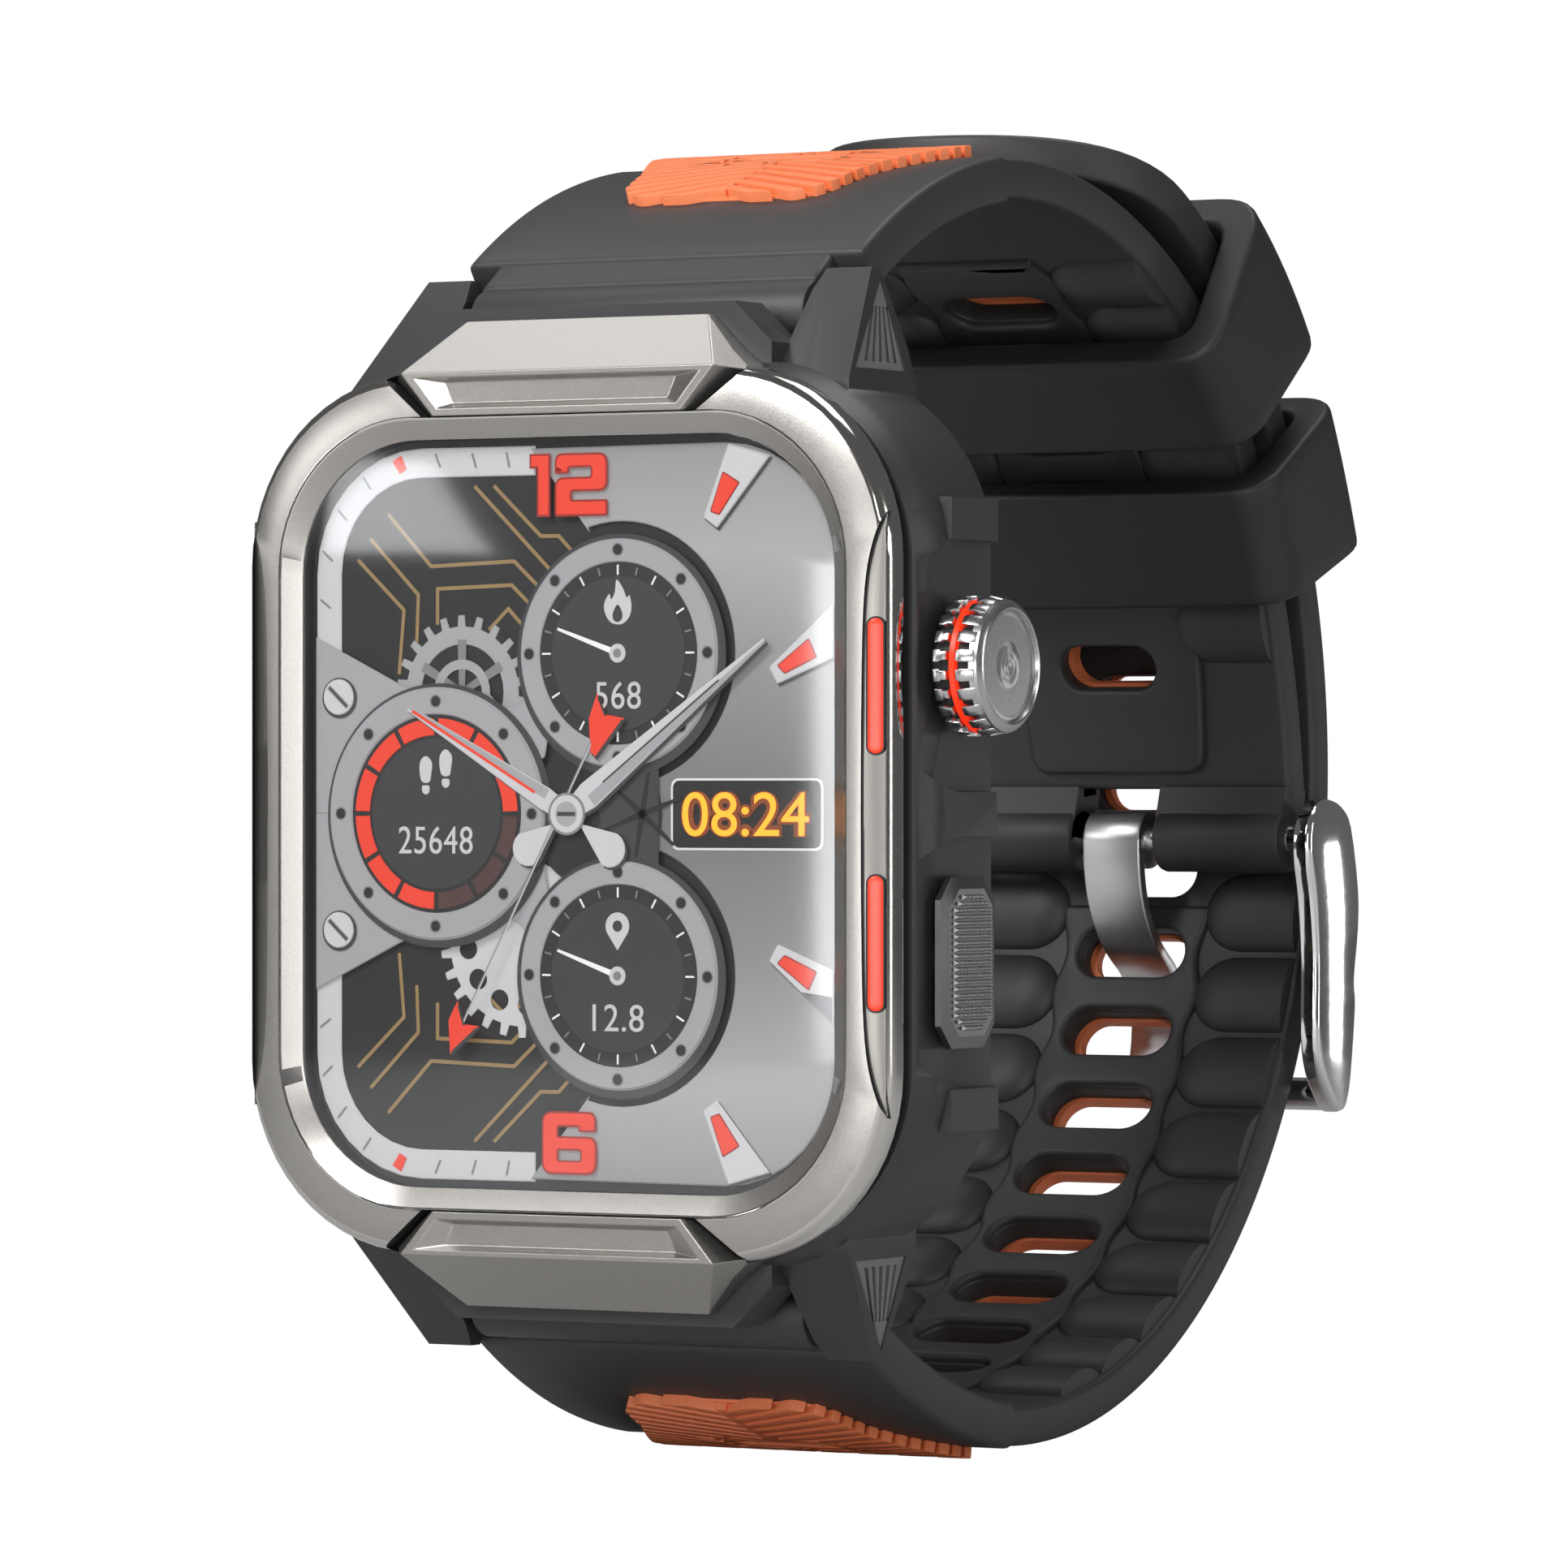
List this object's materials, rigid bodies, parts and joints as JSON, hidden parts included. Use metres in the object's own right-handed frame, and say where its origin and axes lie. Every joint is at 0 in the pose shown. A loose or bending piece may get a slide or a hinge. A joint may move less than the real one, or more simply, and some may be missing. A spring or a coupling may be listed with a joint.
{
  "type": "gps running watch",
  "caption": "Rugged sports watch with a rounded rectangular display, turning crown, side push button and a buckled elastomer strap with keepers.",
  "frame": {"origin": "centre of the sensor window's face on the case back", "axes": "+Z towards twelve o'clock, +X towards the crown, +Y out of the case back towards the wrist; the display faces -Y"},
  "size_m": [0.0442, 0.07, 0.0735],
  "materials": {
    "titanium": "satin brushed, warm grey",
    "strip_metal": "satin, darker than the bezel",
    "accent_red": "glossy",
    "case_black": "fine matt",
    "grille_black": "matt",
    "glass": "clear, polished",
    "seal_black": "matt",
    "display": "display face",
    "chassis_metal": "cast",
    "board_green": "solder mask",
    "shield_metal": "plain",
    "contact_gold": "plated",
    "battery_wrap": "foil wrap",
    "speaker_black": "plain",
    "sensor_glass": "polished, dark",
    "screw_steel": "plain",
    "sleeve_dark": "plain",
    "crown_steel": "bright machined",
    "crown_red": "glossy",
    "gunmetal": "dark, knurled face",
    "strap_black": "matt elastomer",
    "keeper_black": "matt elastomer",
    "inlay_orange": "matt elastomer",
    "buckle_chrome": "polished"
  },
  "bodies": {
    "case": {"bezel": "titanium", "side_strip_right": "strip_metal", "side_strip_left": "strip_metal", "accent_bars": "accent_red", "end_cap_upper": "titanium", "end_cap_lower": "titanium", "mid_frame": "case_black", "lug_grilles": "grille_black", "cover_glass": "glass", "glass_gasket": "seal_black", "display_panel": "display", "inner_chassis": "chassis_metal", "main_board": "board_green", "gps_module": "shield_metal", "gps_antenna": "contact_gold", "battery": "battery_wrap", "vibration_motor": "shield_metal", "speaker": "speaker_black", "sensor_board": "board_green", "rear_cover": "case_black", "rear_seal": "seal_black", "sensor_window": "sensor_glass", "charging_pins": "contact_gold", "rear_screws": "screw_steel", "crown_tube": "screw_steel", "crown_seal": "seal_black", "crown_bracket": "chassis_metal", "crown_switch": "contact_gold", "button_switch": "contact_gold", "spring_bars": "screw_steel"},
    "crown_carrier": {"encoder_sleeve": "sleeve_dark"},
    "crown": {"crown_stem": "screw_steel", "crown_cap": "crown_steel", "crown_ring": "crown_red", "crown_face": "crown_steel"},
    "button": {"side_button": "gunmetal", "button_stem": "screw_steel"},
    "upper_strap": {"strap_upper": "strap_black", "strap_upper_inlay": "inlay_orange"},
    "lower_strap": {"strap_lower": "strap_black", "strap_lower_inlay": "inlay_orange"},
    "buckle": {"buckle_bar": "buckle_chrome", "buckle_frame": "buckle_chrome"},
    "tongue": {"buckle_tongue": "buckle_chrome"},
    "upper_keeper": {"keeper_upper": "keeper_black"},
    "lower_keeper": {"keeper_lower": "keeper_black"}
  },
  "joints": [
    {"name": "crown_press", "type": "slide", "parent": "case", "child": "crown_carrier", "axis": [-1, 0, 0], "range_m": [0, 0.0005], "stiffness_N_per_m": 3000, "springref_m": -0.0003},
    {"name": "crown_turn", "type": "hinge", "parent": "crown_carrier", "child": "crown", "pos_m": [0.02, -0.0068, 0.00765], "axis": [1, 0, 0], "continuous": true},
    {"name": "button_press", "type": "slide", "parent": "case", "child": "button", "axis": [-1, 0, 0], "range_m": [0, 0.0004], "stiffness_N_per_m": 3000, "springref_m": -0.0003},
    {"name": "strap_upper_swing", "type": "hinge", "parent": "case", "child": "upper_strap", "pos_m": [0, -0.0036, 0.0263], "axis": [1, 0, 0], "range_deg": [-0.5, 0.5]},
    {"name": "strap_lower_swing", "type": "hinge", "parent": "case", "child": "lower_strap", "pos_m": [0, -0.0036, -0.0263], "axis": [1, 0, 0], "range_deg": [-0.5, 0.5]},
    {"name": "buckle_swing", "type": "hinge", "parent": "upper_strap", "child": "buckle", "pos_m": [0, 0.0512, -0.0017], "axis": [1, 0, 0], "range_deg": [0, 2.5]},
    {"name": "tongue_swing", "type": "hinge", "parent": "upper_strap", "child": "tongue", "pos_m": [0, 0.0512, -0.0017], "axis": [1, 0, 0], "range_deg": [0, 2.5]},
    {"name": "keeper_upper_slide", "type": "hinge", "parent": "upper_strap", "child": "upper_keeper", "pos_m": [0, 0.0231, 0.00723], "axis": [1, 0, 0], "range_deg": [-3, 5]},
    {"name": "keeper_lower_slide", "type": "hinge", "parent": "upper_strap", "child": "lower_keeper", "pos_m": [0, 0.00231, -0.00477], "axis": [1, 0, 0], "range_deg": [-2, 1]}
  ],
  "couplings": [
    {"joint": "strap_lower_swing", "follows": "strap_upper_swing", "ratio": 1},
    {"joint": "tongue_swing", "follows": "buckle_swing", "ratio": 1}
  ]
}
